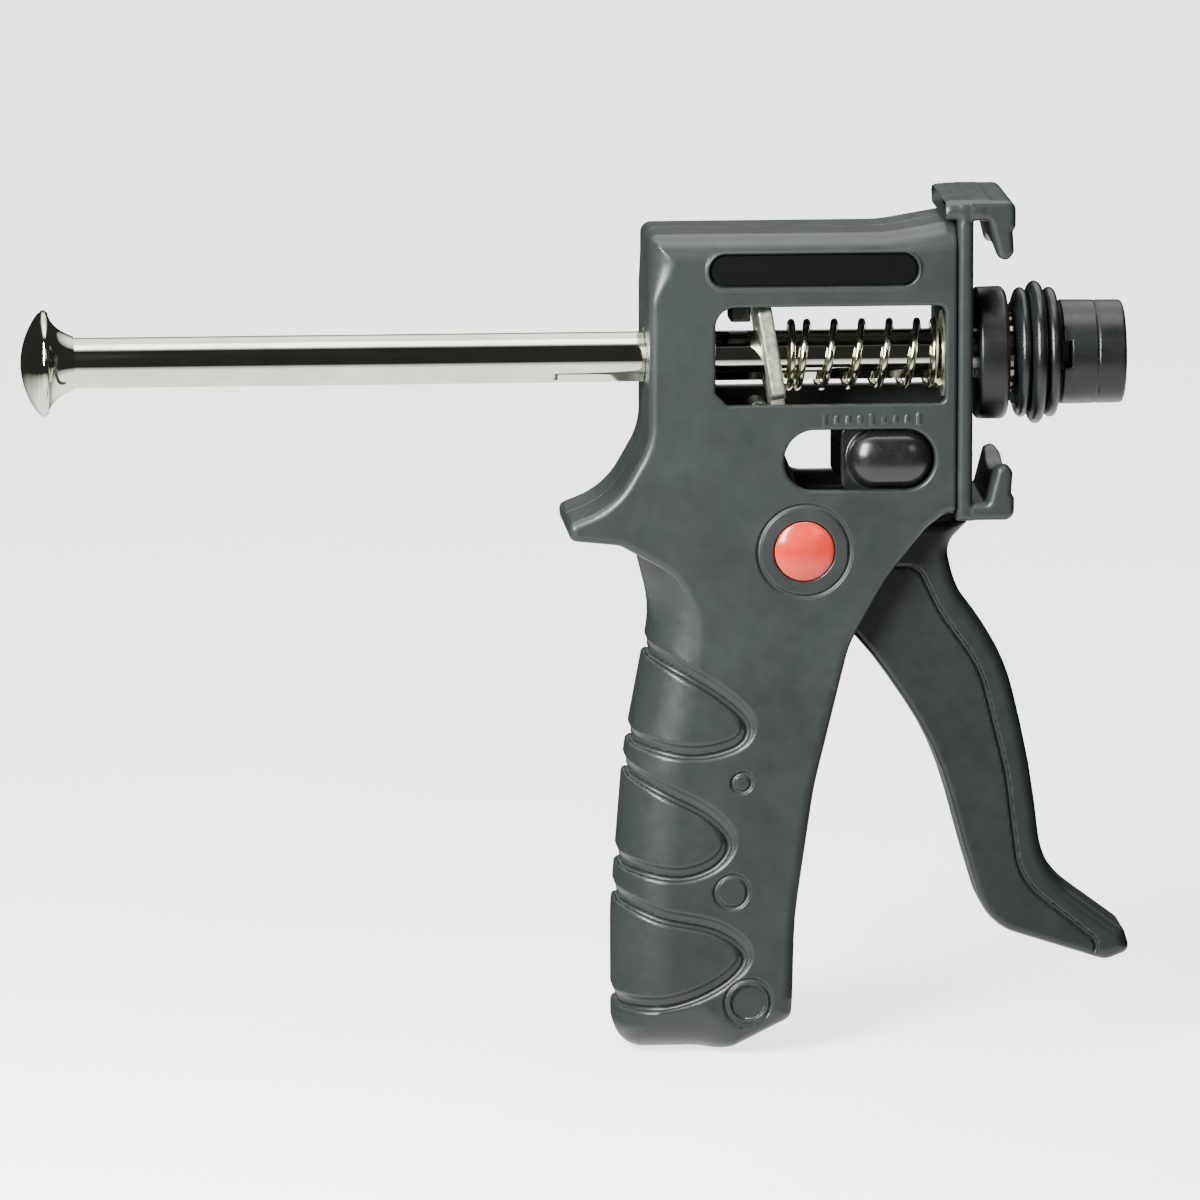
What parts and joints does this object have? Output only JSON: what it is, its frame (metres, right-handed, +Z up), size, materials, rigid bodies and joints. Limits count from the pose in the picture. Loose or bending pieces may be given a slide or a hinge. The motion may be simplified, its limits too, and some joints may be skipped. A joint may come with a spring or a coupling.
{
  "type": "caulking gun",
  "caption": "Hand-held cartridge gun: moulded pistol grip with spring window, lever trigger, long steel push rod with knob, ribbed plunger and open front cartridge holder.",
  "frame": {"origin": "on the push rod's axis, on the front face of the cartridge holder", "axes": "+X forward along the rod, towards the cartridge; +Y to the gun's left; +Z up"},
  "size_m": [0.2216, 0.0318, 0.172],
  "materials": {
    "housing_plastic": "fine spark texture",
    "trigger_plastic": "fine spark texture",
    "inlay_plastic": "smooth matt",
    "guide_plastic": "smooth",
    "plunger_plastic": "smooth satin",
    "knob_plastic": "polished",
    "cap_plastic": "polished",
    "seal_rubber": "satin",
    "rod_steel": "plated and polished",
    "spring_steel": "plated",
    "zinc_steel": "zinc plated",
    "washer_steel": "dull plated"
  },
  "bodies": {
    "frame": {"housing_right": "housing_plastic", "housing_left": "housing_plastic", "cartridge_holder": "housing_plastic", "inlay_left": "inlay_plastic", "inlay_right": "inlay_plastic", "housing_screws": "zinc_steel", "rod_guide_rear": "guide_plastic", "rod_guide_front": "guide_plastic", "rod_brake_ring": "seal_rubber", "spring_seat": "zinc_steel", "return_spring": "spring_steel", "pivot_pin": "zinc_steel", "pivot_cap_left": "cap_plastic", "pivot_cap_right": "cap_plastic"},
    "rod": {"push_rod": "rod_steel", "rod_knob": "rod_steel", "plunger_disc": "plunger_plastic", "lock_washer": "washer_steel", "plunger_seal": "seal_rubber", "plunger_nose": "plunger_plastic", "plunger_screw": "zinc_steel"},
    "lever": {"trigger": "trigger_plastic", "trigger_bush": "guide_plastic"},
    "jam_plate": {"drive_plate": "zinc_steel"},
    "dose_slider": {"dose_knob_left": "knob_plastic", "dose_knob_right": "knob_plastic", "dose_bar": "zinc_steel"}
  },
  "joints": [
    {"name": "trigger_pivot", "type": "hinge", "parent": "frame", "child": "lever", "pos_m": [-0.0336, 0, -0.0374], "axis": [0, 1, 0], "range_deg": [0, 24], "stiffness_Nm_per_rad": 1.2, "springref_deg": -14.32},
    {"name": "plate_slide", "type": "slide", "parent": "frame", "child": "jam_plate", "axis": [1, 0, 0], "range_m": [0, 0.0117], "deforming": ["return_spring"]},
    {"name": "rod_slide", "type": "slide", "parent": "frame", "child": "rod", "axis": [1, 0, 0], "range_m": [0, 0.112]},
    {"name": "dose_slide", "type": "slide", "parent": "frame", "child": "dose_slider", "axis": [-1, 0, 0], "range_m": [0, 0.0115]}
  ],
  "couplings": [
    {"joint": "plate_slide", "follows": "trigger_pivot", "m_per_rad": 0.0277}
  ]
}
